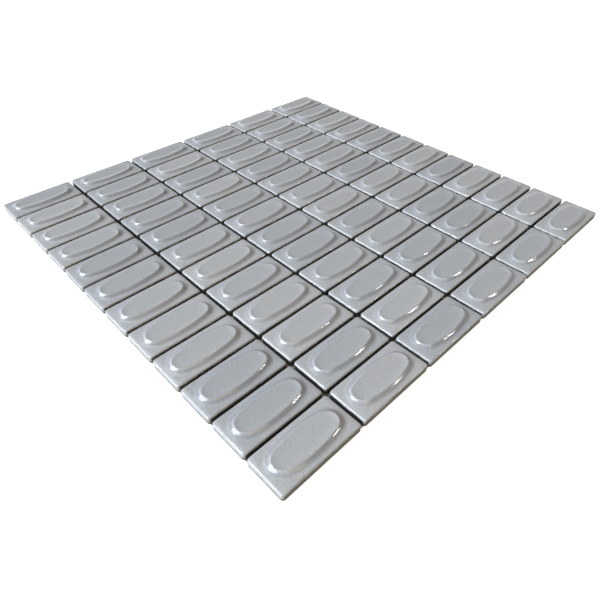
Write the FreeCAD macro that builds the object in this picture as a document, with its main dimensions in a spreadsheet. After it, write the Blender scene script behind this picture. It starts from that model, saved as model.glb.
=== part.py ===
import FreeCAD, Part
import functools
import math
import os

import Sketcher

# A mosaic sheet: rows of small rectangular ceramic tiles held at even joints by a net under their backs.
# X runs along the tiles, Y across them and Z up out of the glazed faces.
# The origin is the middle of the sheet, on the underside of the net. Lengths are in mm, angles in degrees.
sizes = {
    "tile_length": 48.0,
    "tile_width": 22.7,
    "tile_thickness": 4.7,
    "corner_round": 1.4,
    "arris_round": 1.1,
    "back_chamfer": 0.3,
    "joint_ends": 1.5,
    "joint_sides": 1.5,
    "tiles_along": 6,
    "tiles_across": 12,
    "relief_rise": 1.7,
    "relief_end_margin": 3.4,
    "relief_side_margin": 2.3,
    "relief_bow": 1.65,
    "flank_angle": 33.0,
    "foot_blend": 3.5,
    "crest_blend": 1.0,
    "dish_depth": 0.3,
    "dish_rim": 0.6,
    "dish_angle": 10.0,
    "strand_width": 1.0,
    "strand_thickness": 0.25,
    "strand_lap": 0.1,
    "net_margin": 1.5,
    "cells_per_length": 6,
    "cells_per_width": 3,
}

# Sizes that follow from the ones above.
derived = {
    "pitch_along": "=tile_length + joint_ends",
    "pitch_across": "=tile_width + joint_sides",
    "foot_half_length": "=tile_length / 2 - relief_end_margin",
    "foot_half_width": "=tile_width / 2 - relief_side_margin",
    "relief_end_round": "=foot_half_width - relief_bow",
    "crest_height": "=tile_thickness + relief_rise",
    "dish_inset": "=relief_rise / tan(flank_angle * 1deg) + dish_rim",
    "net_half_length": "=tiles_along * pitch_along / 2 - joint_ends / 2 - net_margin",
    "net_thickness": "=2 * strand_thickness - strand_lap",
    "cell_length": "=pitch_along / cells_per_length",
    "cell_width": "=pitch_across / cells_per_width",
}

doc = FreeCAD.newDocument("mosaic_tile_sheet")
sheet = doc.addObject("Spreadsheet::Sheet", "Sizes")
for line, (name, content) in enumerate({**sizes, **derived}.items(), start=1):
    sheet.set(f"A{line}", name)
    sheet.set(f"B{line}", str(content))
    sheet.setAlias(f"B{line}", name)
doc.recompute()


def origin_item(body, role):
    """The named plane or axis of a body's own origin."""
    return next(item for item in body.Origin.OriginFeatures if item.Role == role)


def level_sketch(body, name, height):
    """A sketch parallel to the tile's back, at the height that an expression gives."""
    sketch = body.newObject("Sketcher::SketchObject", name)
    sketch.AttachmentSupport = [(origin_item(body, "XY_Plane"), "")]
    sketch.MapMode = "FlatFace"
    sketch.setExpression("AttachmentOffset.Base.z", height)
    return sketch


def dimension(sketch, name, expression, *constraint):
    """A dimension of the sketch that follows the spreadsheet."""
    index = sketch.addConstraint(Sketcher.Constraint(*constraint))
    sketch.renameConstraint(index, name)
    sketch.setExpression(f"Constraints.{name}", expression)


def draw_tile_outline(sketch):
    """The tile's plan: a rectangle centred on the origin."""
    half_x = sheet.tile_length / 2
    half_y = sheet.tile_width / 2
    corners = [(-half_x, -half_y), (half_x, -half_y), (half_x, half_y), (-half_x, half_y)]
    points = [FreeCAD.Vector(x, y, 0) for x, y in corners]
    for start, end in zip(points, points[1:] + points[:1]):
        sketch.addGeometry(Part.LineSegment(start, end))
    for side in range(4):
        sketch.addConstraint(Sketcher.Constraint("Coincident", side, 2, (side + 1) % 4, 1))
    for side, direction in enumerate(("Horizontal", "Vertical", "Horizontal", "Vertical")):
        sketch.addConstraint(Sketcher.Constraint(direction, side))
    sketch.addConstraint(Sketcher.Constraint("Symmetric", 0, 1, 2, 1, -1, 1))
    dimension(sketch, "length", "Sizes.tile_length", "DistanceX", 0, 1, 0, 2, 2 * half_x)
    dimension(sketch, "width", "Sizes.tile_width", "DistanceY", 1, 1, 1, 2, 2 * half_y)


def draw_oval(sketch, inset=None):
    """The relief's foot, or an oval that lies inside it all round by the size named inset.

    Two round ends of radius r meet two long sides that bow out past them to the half width b. With the
    ends' centres at plus and minus c, one radius is tangent to both ends: (c^2 / (b - r) + r + b) / 2.
    """
    inside = getattr(sheet, inset) if inset else 0.0
    r_end = sheet.relief_end_round - inside
    end_x = sheet.foot_half_length - sheet.relief_end_round
    half_width = sheet.foot_half_width - inside
    r_side = (end_x ** 2 / sheet.relief_bow + r_end + half_width) / 2
    side_y = r_side - half_width
    turn = math.atan2(side_y, end_x)
    arcs = [
        (end_x, 0, r_end, -turn, turn),
        (0, -side_y, r_side, turn, math.pi - turn),
        (-end_x, 0, r_end, math.pi - turn, math.pi + turn),
        (0, side_y, r_side, math.pi + turn, 2 * math.pi - turn),
    ]
    for x, y, radius, start, end in arcs:
        circle = Part.Circle(FreeCAD.Vector(x, y, 0), FreeCAD.Vector(0, 0, 1), radius)
        sketch.addGeometry(Part.ArcOfCircle(circle, start, end))
    for arc in range(4):
        sketch.addConstraint(Sketcher.Constraint("Tangent", arc, 2, (arc + 1) % 4, 1))
    sketch.addConstraint(Sketcher.Constraint("PointOnObject", 0, 3, -1))
    sketch.addConstraint(Sketcher.Constraint("Symmetric", 0, 3, 2, 3, -1, 1))
    sketch.addConstraint(Sketcher.Constraint("Equal", 0, 2))
    sketch.addConstraint(Sketcher.Constraint("Equal", 1, 3))
    less = f" - Sizes.{inset}" if inset else ""
    end = f"(Sizes.relief_end_round{less})"
    reach = "(Sizes.foot_half_length - Sizes.relief_end_round)"
    side = f"({reach} ^ 2 / Sizes.relief_bow + {end} + Sizes.foot_half_width{less}) / 2"
    dimension(sketch, "end_round", end, "Radius", 0, r_end)
    dimension(sketch, "end_centre", reach, "DistanceX", -1, 1, 0, 3, end_x)
    dimension(sketch, "side_round", side, "Radius", 1, r_side)


def names_of(shape, kind, test):
    """The names of a shape's edges or faces that pass a test."""
    items = getattr(shape, kind + "s")
    return [f"{kind}{number}" for number, item in enumerate(items, start=1) if test(item)]


def lies_at(height):
    """A test for what lies flat at one height."""
    return lambda item: max(abs(item.BoundBox.ZMin - height), abs(item.BoundBox.ZMax - height)) < 1e-4


def is_upright(edge):
    return edge.BoundBox.ZLength > edge.BoundBox.DiagonalLength / 2


def is_on_foot(edge):
    """A test for the line where the relief's flank starts from the face."""
    middle = edge.BoundBox.Center
    within = abs(middle.x) < sheet.foot_half_length + 0.01 and abs(middle.y) < sheet.foot_half_width + 0.01
    return within and lies_at(sheet.tile_thickness)(edge)


def dress(body, kind, name, base, items, size, cell):
    """A fillet or chamfer on the named edges or faces of the feature before it."""
    feature = body.newObject(f"PartDesign::{kind}", name)
    feature.Base = (base, items)
    feature.setExpression(size, f"Sizes.{cell}")
    doc.recompute()
    return feature


def make_tile():
    """One pressed and glazed tile, standing on its back: a slab with a raised oval on its face."""
    body = doc.addObject("PartDesign::Body", "tile")
    outline = level_sketch(body, "outline", "0 mm")
    draw_tile_outline(outline)
    slab = body.newObject("PartDesign::Pad", "slab")
    slab.Profile = outline
    slab.setExpression("Length", "Sizes.tile_thickness")
    doc.recompute()

    # The plan's corners are rounded first, then the arris that the glaze softens round the face.
    upright = names_of(slab.Shape, "Edge", is_upright)
    corners = dress(body, "Fillet", "corners", slab, upright, "Radius", "corner_round")
    face = names_of(corners.Shape, "Face", lies_at(sheet.tile_thickness))
    arris = dress(body, "Fillet", "arris", corners, face, "Radius", "arris_round")
    back = names_of(arris.Shape, "Face", lies_at(0))
    dress(body, "Chamfer", "back_edge", arris, back, "Size", "back_chamfer")

    # The raised oval leans in from its foot to its crest, and both turns are blended.
    foot = level_sketch(body, "foot", "Sizes.tile_thickness")
    draw_oval(foot)
    relief = body.newObject("PartDesign::Pad", "relief")
    relief.Profile = foot
    relief.setExpression("Length", "Sizes.relief_rise")
    relief.setExpression("TaperAngle", "Sizes.flank_angle - 90")
    doc.recompute()
    top = names_of(relief.Shape, "Face", lies_at(sheet.crest_height))
    crest = dress(body, "Fillet", "crest", relief, top, "Radius", "crest_blend")
    foot_line = names_of(crest.Shape, "Edge", is_on_foot)
    dress(body, "Fillet", "foot_line", crest, foot_line, "Radius", "foot_blend")

    # The oval's top is a very shallow dish inside a narrow rim.
    rim = level_sketch(body, "rim", "Sizes.crest_height")
    draw_oval(rim, "dish_inset")
    dish = body.newObject("PartDesign::Pocket", "dish")
    dish.Profile = rim
    dish.setExpression("Length", "Sizes.dish_depth")
    dish.setExpression("TaperAngle", "Sizes.dish_angle - 90")
    doc.recompute()
    body.Tip = dish
    return body


def row_middle(row):
    """The place across the sheet of a row's middle line, as an expression."""
    return f"({row} - (Sizes.tiles_across - 1) / 2) * Sizes.pitch_across"


def make_tile_row(tile, row):
    """A row of like tiles along X. They stand apart by the joint, and only the net holds them."""
    body = doc.addObject("PartDesign::Body", f"tile_row_{row + 1:02d}")
    body.BaseFeature = tile
    doc.recompute()
    tiles = body.newObject("PartDesign::LinearPattern", f"tiles_{row + 1:02d}")
    tiles.TransformMode = "Whole shape"
    tiles.Direction = (origin_item(body, "X_Axis"), [""])
    tiles.Mode = "Spacing"
    tiles.setExpression("Offset", "Sizes.pitch_along")
    tiles.setExpression("Occurrences", "Sizes.tiles_along")
    body.Tip = tiles
    body.setExpression("Placement.Base.x", "-(Sizes.tiles_along - 1) / 2 * Sizes.pitch_along")
    body.setExpression("Placement.Base.y", row_middle(row))
    body.setExpression("Placement.Base.z", "Sizes.net_thickness")
    return body


def strand(x, y, z, length, width):
    """A flat strand, given by the middle of its underside."""
    corner = FreeCAD.Vector(x - length / 2, y - width / 2, z)
    return Part.makeBox(length, width, sheet.strand_thickness, corner)


def middles(count, cell, low, high):
    """The middle lines of evenly spaced strands, less those that would reach past an edge."""
    half = sheet.strand_width / 2
    places = [(number + 0.5 - count / 2) * cell for number in range(int(count))]
    return [place for place in places if low <= place - half and place + half <= high]


@functools.lru_cache
def lattice(front, rear):
    """Strands both ways between two lines along X, fused where the upper ones lap into the lower."""
    half_length = sheet.net_half_length
    columns = middles(sheet.tiles_along * sheet.cells_per_length, sheet.cell_length, -half_length, half_length)
    lines = middles(sheet.cells_per_width, sheet.cell_width, front, rear)
    lower = [strand(0, y, 0, 2 * half_length, sheet.strand_width) for y in lines]
    upper_base = sheet.strand_thickness - sheet.strand_lap
    upper = [strand(x, (front + rear) / 2, upper_base, sheet.strand_width, rear - front) for x in columns]
    return lower[0].fuse(lower[1:] + upper)


def make_net_strip(row):
    """The net under one row of tiles, laid out about the row's middle line.

    Between rows its strands meet the next strip's face to face. Along the sheet's edge they end as
    short cut ends, a little inside the tiles.
    """
    half_pitch = sheet.pitch_across / 2
    first = row == 0
    last = row == sheet.tiles_across - 1
    edge = half_pitch - sheet.joint_sides / 2 - sheet.net_margin
    strip = doc.addObject("Part::Feature", f"net_strip_{row + 1:02d}")
    strip.Shape = lattice(-edge if first else -half_pitch, edge if last else half_pitch)
    strip.setExpression("Placement.Base.y", row_middle(row))
    return strip


tile = make_tile()
rows = [make_tile_row(tile, row) for row in range(int(sheet.tiles_across))]
net = [make_net_strip(row) for row in range(int(sheet.tiles_across))]
doc.recompute()

for item in doc.Objects:
    if "Invalid" in item.State or "Error" in item.State:
        raise RuntimeError(f"{item.Label} failed: {item.State}")
plain_tile = doc.getObject("foot_line").Shape
if not tile.Shape.Volume < plain_tile.Volume:
    raise RuntimeError("the dish cuts nothing")

os.makedirs("parts", exist_ok=True)
for node in rows + net:
    if node.Shape.isNull() or not node.Shape.isValid():
        raise RuntimeError(f"{node.Label} has no sound shape")
    node.Shape.exportStep(f"parts/{node.Label}.step")
    print(node.Label, len(node.Shape.Solids), "solids", round(node.Shape.Volume / 1000, 3), "cm3")
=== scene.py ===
import math
import random

import bmesh
import bpy
from mathutils import Euler, Matrix, Vector


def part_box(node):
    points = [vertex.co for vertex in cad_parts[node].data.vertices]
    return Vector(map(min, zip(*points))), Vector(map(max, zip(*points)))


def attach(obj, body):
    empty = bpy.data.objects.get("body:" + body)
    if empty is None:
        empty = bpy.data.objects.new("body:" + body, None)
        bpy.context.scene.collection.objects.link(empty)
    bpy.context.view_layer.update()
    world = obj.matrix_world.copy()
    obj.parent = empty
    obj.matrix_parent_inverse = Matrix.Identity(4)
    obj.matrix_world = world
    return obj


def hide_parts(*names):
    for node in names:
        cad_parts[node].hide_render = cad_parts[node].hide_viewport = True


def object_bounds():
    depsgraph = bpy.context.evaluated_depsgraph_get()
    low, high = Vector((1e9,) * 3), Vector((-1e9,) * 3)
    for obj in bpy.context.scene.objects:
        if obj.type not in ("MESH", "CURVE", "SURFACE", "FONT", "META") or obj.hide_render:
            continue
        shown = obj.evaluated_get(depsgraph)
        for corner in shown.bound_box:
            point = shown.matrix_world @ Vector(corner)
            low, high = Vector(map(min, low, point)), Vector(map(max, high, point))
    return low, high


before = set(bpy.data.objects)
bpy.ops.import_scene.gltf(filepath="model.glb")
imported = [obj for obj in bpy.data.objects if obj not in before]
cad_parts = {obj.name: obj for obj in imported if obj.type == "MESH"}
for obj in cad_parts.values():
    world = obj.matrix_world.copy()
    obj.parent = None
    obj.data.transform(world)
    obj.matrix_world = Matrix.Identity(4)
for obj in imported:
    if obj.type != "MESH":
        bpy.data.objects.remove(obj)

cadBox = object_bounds()
mm = 0.001
scene = bpy.context.scene
scene.view_settings.view_transform = "Standard"
draw = random.Random(72)  # one seed for every small difference between tiles
rowNumbers = range(1, 13)


# Node helpers

def newMaterial(name):
    material = bpy.data.materials.new(name)
    material.use_nodes = True
    nodes = material.node_tree.nodes
    nodes.clear()
    output = nodes.new("ShaderNodeOutputMaterial")
    shader = nodes.new("ShaderNodeBsdfPrincipled")
    material.node_tree.links.new(shader.outputs["BSDF"], output.inputs["Surface"])
    return material, shader


def feed(owner, node, inputs):
    # Sets each named socket to its value, or links it to another node's output.
    for key, value in inputs.items():
        if isinstance(value, bpy.types.NodeSocket):
            owner.node_tree.links.new(value, node.inputs[key])
        else:
            node.inputs[key].default_value = value


def addNode(owner, kind, inputs=None, **settings):
    node = owner.node_tree.nodes.new(kind)
    for key, value in settings.items():
        setattr(node, key, value)
    feed(owner, node, inputs or {})
    return node


def calculate(owner, operation, a, b=0.0, c=0.0):
    return addNode(owner, "ShaderNodeMath", {0: a, 1: b, 2: c}, operation=operation).outputs[0]


def vectorMath(owner, operation, a, b=(0, 0, 0)):
    return addNode(owner, "ShaderNodeVectorMath", {0: a, 1: b}, operation=operation).outputs[0]


def split(owner, vector):
    return addNode(owner, "ShaderNodeSeparateXYZ", {0: vector}).outputs


def mixColour(owner, factor, a, b, blend="MIX"):
    node = addNode(owner, "ShaderNodeMix", {0: factor, 6: a, 7: b}, data_type="RGBA", blend_type=blend)
    return node.outputs[2]


def shade(owner, colour, amount):
    # Multiplies a colour by a number.
    return addNode(owner, "ShaderNodeVectorMath", {0: colour, "Scale": amount}, operation="SCALE").outputs[0]


def stretch(owner, value, fromLow, fromHigh, toLow=0.0, toHigh=1.0):
    inputs = {0: value, 1: fromLow, 2: fromHigh, 3: toLow, 4: toHigh}
    return addNode(owner, "ShaderNodeMapRange", inputs, interpolation_type="SMOOTHSTEP").outputs[0]


def noise(owner, place, size, detail=2.0, roughness=0.5):
    inputs = {"Vector": place, "Scale": 1 / size, "Detail": detail, "Roughness": roughness}
    return addNode(owner, "ShaderNodeTexNoise", inputs).outputs["Fac"]


def evenNoise(owner, place, size, low, high, detail=2.0):
    # Noise stretched from its usual reach, 0.3 to 0.7, to the one that is wanted.
    return stretch(owner, noise(owner, place, size, detail), 0.3, 0.7, low, high)


def bump(owner, height, distance, under=None):
    inputs = {"Height": height, "Distance": distance}
    if under is not None:
        inputs["Normal"] = under
    return addNode(owner, "ShaderNodeBump", inputs).outputs[0]


# Mesh helpers

def keepMesh(bm, name):
    mesh = bpy.data.meshes.new(name)
    bm.to_mesh(mesh)
    bm.free()
    return mesh


def layMesh(bm, mesh, place):
    before = len(bm.verts)
    bm.from_mesh(mesh)
    bm.verts.ensure_lookup_table()
    fresh = bm.verts[before:]
    bmesh.ops.transform(bm, matrix=place, verts=fresh)
    return fresh


def showPiece(bm, name, material, node):
    piece = bpy.data.objects.new(name, keepMesh(bm, name))
    scene.collection.objects.link(piece)
    piece.data.materials.append(material)
    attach(piece, "root")
    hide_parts(node)
    return piece


# Tiles

tile = {
    "perRow": 6,
    "joint": 1.5 * mm,
    "slab": 4.7 * mm,            # thickness without the relief
    "cornerRound": 1.5 * mm,
    "arrisRound": 0.75 * mm,
    "endDraw": 0.2 * mm,         # how far the glazed edge draws in from the nominal size
    "sideDraw": 0.12 * mm,
    "backChamfer": 0.3 * mm,
    "uprightBand": 0.4 * mm,     # below it the walls lean in towards the back
    "sideTaper": 0.05 * mm,
    "footEndMargin": 3.8 * mm,   # from the tile's end to the sharp foot of the relief
    "footSideMargin": 2.9 * mm,
    "footBow": 1.65 * mm,        # how far the oval's long sides bow out past its round ends
    "flankAngle": math.radians(46),
    "footBlend": 4.6 * mm,
    "crestBlend": 0.8 * mm,
    "dishAngle": math.radians(10),
    "dishBlend": 21 * mm,
    "spare": 0.06 * mm,          # kept free of the CAD box, for tiles that lie a little askew
    "endFall": 0.38 * mm,        # how far the face falls towards each end
    "endFallRun": 3.0 * mm,
    "hardEdge": math.radians(35),
    "cornerCuts": 6,
    "endCuts": 9,
    "sideCuts": 11,
    "borderCuts": 2,
    "arrisSteps": 7,
    "reliefSteps": {"foot": 8, "flank": 2, "crest": 7, "dish": 5},
    "lay": {"tilt": math.radians(0.1), "turn": math.radians(0.15), "slide": 0.1 * mm},
}
rowLow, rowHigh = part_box("tile_row_01")
tile["width"] = rowHigh.y - rowLow.y
tile["length"] = (rowHigh.x - rowLow.x - (tile["perRow"] - 1) * tile["joint"]) / tile["perRow"]
tile["rise"] = rowHigh.z - rowLow.z - tile["slab"] - tile["spare"]
tile["back"] = rowLow.z
tile["planLength"] = tile["length"] - 2 * tile["endDraw"]
tile["planWidth"] = tile["width"] - 2 * tile["sideDraw"]
pitch = Vector((tile["length"] + tile["joint"], tile["width"] + tile["joint"], 1))


def turnSteps(start, end, radius, steps):
    # One rounded turn of a section between two slopes, walked inwards: each step's run and rise.
    bend = math.copysign(radius, end - start)
    walk = []
    for step in range(steps):
        a = start + (end - start) * step / steps
        b = start + (end - start) * (step + 1) / steps
        walk.append((bend * (math.sin(b) - math.sin(a)), bend * (math.cos(a) - math.cos(b))))
    return walk


def straightSteps(slope, length, steps):
    return [(length / steps * math.cos(slope), length / steps * math.sin(slope))] * steps


def walkIn(bm, face, walk):
    for run, rise in walk:
        bmesh.ops.inset_individual(bm, faces=[face], thickness=run, depth=rise, use_even_offset=True)


def makeSlab(bm):
    # The plan's corners are rounded, its sides cut, and the wall drawn up to where the arris starts.
    corners = bmesh.ops.create_grid(bm, x_segments=1, y_segments=1, size=0.5)["verts"]
    bmesh.ops.scale(bm, vec=(tile["planLength"], tile["planWidth"], 1), verts=corners)
    wallTop = tile["slab"] - tile["arrisRound"]
    bmesh.ops.translate(bm, vec=(0, 0, wallTop - tile["uprightBand"]), verts=corners)
    bmesh.ops.bevel(bm, geom=corners, offset=tile["cornerRound"], offset_type="OFFSET", affect="VERTICES",
                    segments=tile["cornerCuts"], profile=0.5, material=-1)
    bmesh.ops.delete(bm, geom=bm.faces[:], context="FACES_ONLY")
    for cuts, length in ((tile["endCuts"], tile["planWidth"]), (tile["sideCuts"], tile["planLength"])):
        left = length - 2 * tile["cornerRound"]
        straight = [edge for edge in bm.edges if abs(edge.calc_length() - left) < mm]
        bmesh.ops.subdivide_edges(bm, edges=straight, cuts=cuts)
    back = bmesh.ops.contextual_create(bm, geom=bm.edges[:])["faces"][0]
    made = bmesh.ops.extrude_face_region(bm, geom=[back])["geom"]
    face = next(item for item in made if isinstance(item, bmesh.types.BMFace))
    bmesh.ops.translate(bm, vec=(0, 0, tile["uprightBand"]), verts=face.verts)
    bmesh.ops.recalc_face_normals(bm, faces=bm.faces)
    drop = wallTop - tile["uprightBand"] - tile["backChamfer"]
    walkIn(bm, back, [(tile["sideTaper"], drop), (tile["backChamfer"], tile["backChamfer"])])
    walkIn(bm, face, turnSteps(math.pi / 2, 0, tile["arrisRound"], tile["arrisSteps"]))
    return face


def makeOval(bm, growth):
    # The relief's foot, four arcs that run into each other, grown outwards to where the foot's blend starts.
    halfLength = tile["length"] / 2 - tile["footEndMargin"]
    halfWidth = tile["width"] / 2 - tile["footSideMargin"]
    endRound = halfWidth - tile["footBow"]
    endX = halfLength - endRound
    sideRound = (endX ** 2 / tile["footBow"] + endRound + halfWidth) / 2
    sideY = sideRound - halfWidth
    turn = math.atan2(sideY, endX)
    endSteps = tile["endCuts"] + 2 * tile["cornerCuts"] + 1
    sideSteps = tile["sideCuts"] + 1
    arcs = [
        ((endX, 0), 2 * turn, endSteps),
        ((0, -sideY), math.pi - 2 * turn, sideSteps),
        ((-endX, 0), 2 * turn, endSteps),
        ((0, sideY), math.pi - 2 * turn, sideSteps),
    ]
    reach = endRound + growth
    place = (endX + reach * math.cos(turn), -reach * math.sin(turn), tile["slab"])
    tip = bmesh.ops.create_vert(bm, co=place)["vert"][0]
    ring = [tip]
    for (x, y), angle, steps in arcs:
        known = set(bm.verts)
        made = bmesh.ops.spin(bm, geom=[tip], cent=(x, y, tile["slab"]), axis=(0, 0, 1),
                              angle=angle, steps=steps)
        ring += [vert for vert in bm.verts if vert not in known]
        tip = next(item for item in made["geom_last"] if isinstance(item, bmesh.types.BMVert))
    bmesh.ops.remove_doubles(bm, verts=[ring[0], tip], dist=0.01 * mm)
    ring = [vert for vert in ring if vert.is_valid]
    return bmesh.ops.contextual_create(bm, geom=ring)["faces"][0]


def reliefWalk():
    flank, dish, steps = tile["flankAngle"], tile["dishAngle"], tile["reliefSteps"]
    blends = tile["footBlend"] + tile["crestBlend"]
    straight = (tile["rise"] - blends * (1 - math.cos(flank))) / math.sin(flank)
    walk = turnSteps(0, flank, tile["footBlend"], steps["foot"])
    walk += straightSteps(flank, straight, steps["flank"])
    walk += turnSteps(flank, -dish, tile["crestBlend"], steps["crest"])
    walk += turnSteps(-dish, 0, tile["dishBlend"], steps["dish"])
    return walk


def buildTile():
    bm = bmesh.new()
    face = makeSlab(bm)
    border = list(face.edges)
    bmesh.ops.delete(bm, geom=[face], context="FACES_ONLY")
    growth = tile["footBlend"] * math.tan(tile["flankAngle"] / 2)
    oval = makeOval(bm, growth)
    lift = Vector((0, 0, tile["length"]))  # the two loops pair up rightly only while one is above the other
    bmesh.ops.translate(bm, vec=lift, verts=oval.verts)
    joined = bmesh.ops.bridge_loops(bm, edges=border + list(oval.edges))["edges"]
    bmesh.ops.translate(bm, vec=-lift, verts=oval.verts)
    bmesh.ops.subdivide_edges(bm, edges=joined, cuts=tile["borderCuts"], use_grid_fill=True)
    oval.normal_update()
    if oval.normal.z < 0:
        oval.normal_flip()
    walkIn(bm, oval, reliefWalk())
    bmesh.ops.recalc_face_normals(bm, faces=bm.faces)
    fallStart = tile["length"] / 2 - tile["endFallRun"]
    for vert in bm.verts:
        share = max(abs(vert.co.x) - fallStart, 0) / tile["endFallRun"]
        climb = min(max(vert.co.z - tile["slab"] / 2, 0) / (tile["slab"] / 2), 1)
        vert.co.z -= tile["endFall"] * share * share * climb
    for face in bm.faces:
        face.smooth = True
    for edge in bm.edges:
        edge.smooth = edge.calc_face_angle(0) < tile["hardEdge"]
    return keepMesh(bm, "tileForm")


def settle(bm, verts):
    # A tile that lies past the sheet's edge is slid back in.
    shift = Vector()
    for axis in range(2):
        reach = [vert.co[axis] for vert in verts]
        shift[axis] = max(cadBox[0][axis] - min(reach), 0) - max(max(reach) - cadBox[1][axis], 0)
    bmesh.ops.translate(bm, vec=shift, verts=verts)


def buildTileRow(number, form):
    node = f"tile_row_{number:02d}"
    low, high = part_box(node)
    lay = tile["lay"]
    bm = bmesh.new()
    for column in range(tile["perRow"]):
        middle = Vector((low.x + tile["length"] / 2 + column * pitch.x, (low.y + high.y) / 2, low.z))
        tilt = [draw.uniform(-lay["tilt"], lay["tilt"]) for axis in "xy"]
        turn = draw.uniform(-lay["turn"], lay["turn"])
        slide = [draw.uniform(-lay["slide"], lay["slide"]) for axis in "xy"]
        place = Matrix.Translation(middle + Vector((*slide, 0)))
        fresh = layMesh(bm, form, place @ Euler((*tilt, turn)).to_matrix().to_4x4())
        settle(bm, fresh)
    showPiece(bm, f"tileRow{number:02d}", glaze, node)


glazeLook = {
    "blue": (0.385, 0.392, 0.417, 1),
    "warm": (0.402, 0.394, 0.396, 1),
    "cloudSize": 9 * mm,
    "cloudContrast": (1.6, -0.55),        # factor and offset on the noise
    "cloudShift": 0.25,                   # how far one tile leans to blue or warm
    "tileSpread": 0.05,                   # how much lighter or darker one tile is than the next
    "grainSize": 0.8 * mm,
    "grainDepth": 0.09,
    "grainBump": 0.007 * mm,
    # partly pooled glaze, partly painted shade on the relief's flank
    "poolShadeColour": (0.80, 0.81, 0.84, 1),
    "poolShadeStart": (0.03 * mm, 0.4 * mm),   # heights above the face over which the pool comes in
    "poolEnd": (0.7 * mm, 1.5 * mm),      # and over which it goes out
    "speckSize": 2.6 * mm,
    "speckRadius": 0.055,                 # as a share of the speck cells
    "speckShare": 0.12,
    "speckColour": (0.13, 0.12, 0.11, 1),
    "bodyColour": (0.18, 0.167, 0.145, 1),
    "bodyRoughness": 0.8,
    "dustSize": 0.6 * mm,
    "dustDepth": (0.85, 1.12),
    "bareBelow": 2.2 * mm,
    "bareFade": 0.5 * mm,
    "lineSize": 3 * mm,                   # how long the waves of the glaze line are
    "lineSwing": 0.35 * mm,
    "sideGlazeDown": 4.6 * mm,            # how far down the glaze comes on a tile's long sides
    "sideFacing": (0.75, 0.95),           # the share of Y in the normal that makes a wall a long side
    # painted shade: the near-black colour of the walls deep in the joints
    "jointShadeColour": (0.045, 0.042, 0.038, 1),
    "jointShadeBelow": 4.05 * mm,              # in the joints the walls are dark up to here
    "jointShadeFade": 0.3 * mm,
    "jointShadeInside": (1.0 * mm, 2.0 * mm),  # from the sheet's edge to where a wall is in a joint
    "roughness": (0.08, 0.15),
    "sheenSize": 2.2 * mm,
    "peelSize": 1.3 * mm,
    "peelDepth": 0.03 * mm,
    "waveSize": 7 * mm,
    "waveDepth": 0.05 * mm,
}


def glazeColour(glaze, place, height, grain):
    look = glazeLook
    # Each tile has its own tone: the joint grid names the tile.
    corner = vectorMath(glaze, "ADD", place, (-rowLow.x, -cadBox[0].y, 0))
    cell = vectorMath(glaze, "SNAP", corner, pitch)
    own = addNode(glaze, "ShaderNodeTexWhiteNoise", {"Vector": cell}, noise_dimensions="2D").outputs["Value"]
    cloud = calculate(glaze, "MULTIPLY_ADD", noise(glaze, place, look["cloudSize"], 3), *look["cloudContrast"])
    blend = calculate(glaze, "ADD", cloud, stretch(glaze, own, 0, 1, -look["cloudShift"], look["cloudShift"]))
    blend.node.use_clamp = True
    colour = mixColour(glaze, blend, look["blue"], look["warm"])
    depth, spread = look["grainDepth"], look["tileSpread"]
    colour = shade(glaze, colour, stretch(glaze, grain, 0.3, 0.7, 1 - depth, 1 + depth))
    colour = shade(glaze, colour, stretch(glaze, own, 0, 1, 1 - spread, 1 + spread))

    # Glaze pools a little darker where the relief's flank meets the face; this darkening all round the flank
    # is also painted shade.
    top = tile["back"] + tile["slab"]
    climb = stretch(glaze, height, *[top + step for step in look["poolShadeStart"]])
    leave = stretch(glaze, height, *[top + step for step in reversed(look["poolEnd"])])
    pooledShade = mixColour(glaze, 1.0, colour, look["poolShadeColour"], "MULTIPLY")
    colour = mixColour(glaze, calculate(glaze, "MULTIPLY", climb, leave), colour, pooledShade)

    # A few dark specks of the body show through.
    cells = addNode(glaze, "ShaderNodeTexVoronoi", {"Vector": place, "Scale": 1 / look["speckSize"]})
    near = stretch(glaze, cells.outputs["Distance"], look["speckRadius"], look["speckRadius"] * 0.5)
    pick = addNode(glaze, "ShaderNodeTexWhiteNoise", {"Vector": cells.outputs["Position"]})
    rare = calculate(glaze, "LESS_THAN", pick.outputs["Value"], look["speckShare"])
    return mixColour(glaze, calculate(glaze, "MULTIPLY", near, rare), colour, look["speckColour"])


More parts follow.
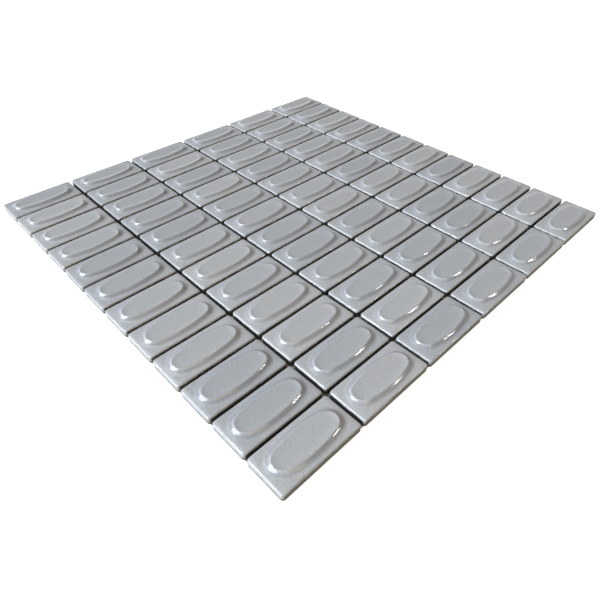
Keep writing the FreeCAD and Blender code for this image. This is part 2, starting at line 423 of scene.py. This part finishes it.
def makeGlaze():
    look = glazeLook
    glaze, shader = newMaterial("greyGlaze")
    coordinates = addNode(glaze, "ShaderNodeTexCoord").outputs
    place = coordinates["Object"]
    height = split(glaze, place)["Z"]
    grain = noise(glaze, place, look["grainSize"], 2, 0.6)
    colour = glazeColour(glaze, place, height, grain)

    # The lower wall and the back are bare body, with an uneven glaze line that is higher on the long sides.
    swing = look["lineSwing"]
    line = calculate(glaze, "ADD", height, evenNoise(glaze, place, look["lineSize"], -swing, swing))
    bareAndJointShade = stretch(glaze, line, look["bareBelow"] + look["bareFade"], look["bareBelow"])
    facing = split(glaze, vectorMath(glaze, "ABSOLUTE", coordinates["Normal"]))["Y"]
    lower = stretch(glaze, line, look["sideGlazeDown"], look["sideGlazeDown"] - look["bareFade"])
    longSide = calculate(glaze, "MULTIPLY", stretch(glaze, facing, *look["sideFacing"]), lower)
    bareAndJointShade = calculate(glaze, "MAXIMUM", bareAndJointShade, longSide)

    # Painted shade: walls in the joints are painted near black below the arris, darker than the sheet's outer
    # walls, standing for the shade deep in the joints.
    outward = vectorMath(glaze, "ABSOLUTE", place)
    edge = split(glaze, vectorMath(glaze, "SUBTRACT", (cadBox[1].x, cadBox[1].y, 0), outward))
    inside = stretch(glaze, calculate(glaze, "MINIMUM", edge["X"], edge["Y"]), *look["jointShadeInside"])
    deep = stretch(glaze, line, look["jointShadeBelow"], look["jointShadeBelow"] - look["jointShadeFade"])
    paintedJointShade = calculate(glaze, "MULTIPLY", inside, deep)
    bareAndJointShade = calculate(glaze, "MAXIMUM", bareAndJointShade, paintedJointShade)
    dust = evenNoise(glaze, place, look["dustSize"], *look["dustDepth"], detail=4)
    body = shade(glaze, mixColour(glaze, paintedJointShade, look["bodyColour"], look["jointShadeColour"]), dust)

    sheen = evenNoise(glaze, place, look["sheenSize"], *look["roughness"], detail=3)
    rough = addNode(glaze, "ShaderNodeMix", {0: bareAndJointShade, 2: sheen, 3: look["bodyRoughness"]}).outputs[0]
    wave = bump(glaze, noise(glaze, place, look["waveSize"], 1), look["waveDepth"])
    peel = bump(glaze, noise(glaze, place, look["peelSize"], 1), look["peelDepth"], wave)
    fine = bump(glaze, grain, look["grainBump"], peel)
    feed(glaze, shader, {
        "Base Color": mixColour(glaze, bareAndJointShade, colour, body),
        "Roughness": rough,
        "Normal": fine,
    })
    return glaze


glaze = makeGlaze()
form = buildTile()
for number in rowNumbers:
    buildTileRow(number, form)
print("tiles built,", len(form.polygons), "faces each")


# Net: two thin yarns that twist round each other run along the sheet, with flat yarns between them

net = {
    "yarnWidth": 0.42 * mm,
    "yarnHeight": 0.15 * mm,
    "bandWidth": 0.95 * mm,
    "bandHeight": 0.11 * mm,
    "swing": 0.2 * mm,           # how far a twisting yarn swings to each side
    "rise": 0.12 * mm,
    "steps": 6,                  # rings of a twisting yarn from one crossing to the next
    "bandCuts": 3,
    "sides": 6,
    "perTile": 6,
    "perRow": 3,
}
net["cell"] = Vector((pitch.x / net["perTile"], pitch.y / net["perRow"]))


def makeYarn(width, height, length, cuts):
    # A flat-oval rod along X, in short stretches.
    bm = bmesh.new()
    ring = bmesh.ops.create_circle(bm, cap_ends=True, segments=net["sides"], radius=0.5)["verts"]
    bmesh.ops.scale(bm, vec=(height, width, 1), verts=ring)
    bmesh.ops.rotate(bm, matrix=Matrix.Rotation(math.pi / 2, 3, "Y"), verts=ring)
    made = bmesh.ops.extrude_face_region(bm, geom=bm.faces[:])["geom"]
    farEnd = [item for item in made if isinstance(item, bmesh.types.BMVert)]
    bmesh.ops.translate(bm, vec=(length, 0, 0), verts=farEnd)
    sides = [edge for edge in bm.edges if abs(edge.verts[0].co.x - edge.verts[1].co.x) > length / 2]
    bmesh.ops.subdivide_edges(bm, edges=sides, cuts=cuts, use_grid_fill=True)
    bmesh.ops.recalc_face_normals(bm, faces=bm.faces)
    for face in bm.faces:
        face.smooth = len(face.verts) == 4
    return bm


def makeTwist(side, start, length):
    # The yarn swings to the other side and changes height once in every cell.
    bm = makeYarn(net["yarnWidth"], net["yarnHeight"], length, round(length / net["cell"].x * net["steps"]))
    for vert in bm.verts:
        turn = math.pi * ((start + vert.co.x) / net["cell"].x - 0.5)
        vert.co.y += side * net["swing"] * math.sin(turn)
        vert.co.z += side * net["rise"] * math.cos(turn)
    return keepMesh(bm, "twist")


def buildNetStrip(number, twists, band):
    node = f"net_strip_{number:02d}"
    low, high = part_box(node)
    rowMiddle = sum(corner.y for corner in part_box(f"tile_row_{number:02d}")) / 2
    middle = (low.z + high.z) / 2
    bm = bmesh.new()
    for line in range(net["perRow"]):
        y = rowMiddle + (line - (net["perRow"] - 1) / 2) * net["cell"].y
        for twist in twists:
            layMesh(bm, twist, Matrix.Translation((low.x, y, middle)))
    columns = net["perTile"] * tile["perRow"]
    for column in range(columns):
        x = (column + 0.5 - columns / 2) * net["cell"].x
        across = Matrix.Translation((x, low.y, middle)) @ Matrix.Rotation(math.pi / 2, 4, "Z")
        layMesh(bm, band, across @ Matrix.Diagonal((high.y - low.y, 1, 1, 1)))
    return showPiece(bm, f"netStrip{number:02d}", yarn, node)


yarnLook = {
    # painted shade: the yarn is painted dark so that the net reads as shade at the bottom of the joints
    "colour": (0.20, 0.19, 0.17, 1),
    "shadow": (0.10, 0.095, 0.085, 1),
    "fibreSize": 0.12 * mm,
    "fibreDepth": 0.02 * mm,
    "patchSize": 4 * mm,
    "patchDepth": (0.6, 1.4),
    "roughness": 0.55,
}


def makeYarnMaterial():
    look = yarnLook
    material, shader = newMaterial("glassYarnPaintedShade")
    place = addNode(material, "ShaderNodeTexCoord").outputs["Object"]
    fibres = noise(material, place, look["fibreSize"], 3)
    patches = evenNoise(material, place, look["patchSize"], *look["patchDepth"])
    tone = calculate(material, "MULTIPLY", fibres, patches)
    feed(material, shader, {
        "Base Color": mixColour(material, tone, look["shadow"], look["colour"]),
        "Roughness": look["roughness"],
        "Normal": bump(material, fibres, look["fibreDepth"]),
    })
    return material


yarn = makeYarnMaterial()
netLow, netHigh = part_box("net_strip_01")
twists = [makeTwist(side, netLow.x, netHigh.x - netLow.x) for side in (1, -1)]
band = keepMesh(makeYarn(net["bandWidth"], net["bandHeight"], 1, net["bandCuts"]), "band")
for number in rowNumbers:
    strip = buildNetStrip(number, twists, band)
print("net built,", len(strip.data.polygons), "faces in the last strip")


# Floor, light and camera

floorLook = {
    "size": 8.0,
    "colour": (0.42, 0.41, 0.39, 1),
    "roughness": 0.9,
    "gloss": 0.1,
    "lift": 0.88,                # emission that brings the floor to white where it is seen directly
    "clear": -1.3 * mm,          # how far out from the sheet's edge the lift starts
    "fade": 0.2 * mm,
}


def seenDirectly(owner):
    path = addNode(owner, "ShaderNodeLightPath").outputs
    bounced = calculate(owner, "MAXIMUM", path["Is Glossy Ray"], path["Is Transmission Ray"])
    return calculate(owner, "MAXIMUM", path["Is Camera Ray"], bounced)


def buildFloor():
    bm = bmesh.new()
    bmesh.ops.create_grid(bm, x_segments=1, y_segments=1, size=floorLook["size"] / 2)
    floor = bpy.data.objects.new("floor", keepMesh(bm, "floor"))
    scene.collection.objects.link(floor)
    paper, shader = newMaterial("palePaper")
    # White where the camera, gloss or glass sees it, but not under the sheet.
    away = vectorMath(paper, "ABSOLUTE", addNode(paper, "ShaderNodeTexCoord").outputs["Object"])
    past = split(paper, vectorMath(paper, "SUBTRACT", away, (cadBox[1].x, cadBox[1].y, 0)))
    reach = calculate(paper, "MAXIMUM", past["X"], past["Y"])
    outside = stretch(paper, reach, floorLook["clear"], floorLook["clear"] + floorLook["fade"])
    lift = calculate(paper, "MULTIPLY", outside, floorLook["lift"])
    feed(paper, shader, {
        "Base Color": floorLook["colour"],
        "Roughness": floorLook["roughness"],
        "Specular IOR Level": floorLook["gloss"],
        "Emission Color": (1, 1, 1, 1),
        "Emission Strength": calculate(paper, "MULTIPLY", lift, seenDirectly(paper)),
    })
    floor.data.materials.append(paper)


light = {
    # name: from where, distance, width, height, power and colour
    "lamps": {
        "windowLight": ((-0.78, 0.34, 0.53), 4.5, 4.2, 3.1, 432, (0.807, 0.905, 1.0)),
        "roomLight": ((-0.10, -0.72, 0.69), 3.0, 1.7, 1.7, 25, (1.0, 0.86, 0.61)),
    },
    # a bright pane, a high panel and a small lamp that show only as highlights in the glaze
    "sparkles": {
        "brightPane": ((-0.66, 0.33, 0.68), 1.6, 0.16, 0.11, 10, (0.95, 0.98, 1.0)),
        "highPanel": ((-0.15, 0.48, 0.86), 3.0, 1.6, 1.1, 12, (0.82, 0.92, 1.0)),
        "smallLamp": ((0.61, -0.64, 0.465), 6.0, 0.9, 0.4, 75, (1.0, 0.97, 0.93)),
    },
    "skyTop": (0.165, 0.145, 0.11, 1),
    "skySide": (0.115, 0.085, 0.045, 1),
    "skyFrom": 0.3,              # the sine of the height where the sky's side starts to turn to its top
    "backdropBelow": 0.27,       # the same for where the pale backdrop ends
    "backdropFade": 0.08,
}


def areaLight(name, place, distance, width, height, power, colour):
    data = bpy.data.lights.new(name, "AREA")
    data.shape = "RECTANGLE"
    data.size = width
    data.size_y = height
    data.energy = power
    data.color = colour
    direction = Vector(place).normalized()
    lamp = bpy.data.objects.new(name, data)
    lamp.location = direction * distance
    lamp.rotation_euler = direction.to_track_quat("Z", "Y").to_euler()
    scene.collection.objects.link(lamp)
    return lamp


def buildRoom():
    room = bpy.data.worlds.new("softRoom")
    scene.world = room
    room.use_nodes = True
    climb = split(room, addNode(room, "ShaderNodeTexCoord").outputs["Generated"])["Z"]
    sky = mixColour(room, stretch(room, climb, light["skyFrom"], 1.0), light["skySide"], light["skyTop"])
    low = stretch(room, climb, light["backdropBelow"] + light["backdropFade"], light["backdropBelow"])
    backdrop = calculate(room, "MULTIPLY", low, seenDirectly(room))
    feed(room, room.node_tree.nodes["Background"], {"Color": mixColour(room, backdrop, sky, (1, 1, 1, 1))})


buildFloor()
buildRoom()
for name, setup in light["lamps"].items():
    areaLight(name, *setup)
for name, setup in light["sparkles"].items():
    areaLight(name, *setup).visible_diffuse = False
print("floor and lights set")

view = {
    "place": (-0.205314, -0.2119694, 0.1925754),
    "turn": (47.0896, -0.5082, -43.814),  # degrees about X, Y and Z
    "lens": 29.7163,
    "sensor": 36,
    "clipStart": 0.01,
}
cameraData = bpy.data.cameras.new("photoCamera")
cameraData.lens = view["lens"]
cameraData.sensor_width = view["sensor"]
cameraData.clip_start = view["clipStart"]
camera = bpy.data.objects.new("photoCamera", cameraData)
camera.location = view["place"]
camera.rotation_euler = Euler([math.radians(angle) for angle in view["turn"]])
scene.collection.objects.link(camera)
scene.camera = camera
print("camera set")
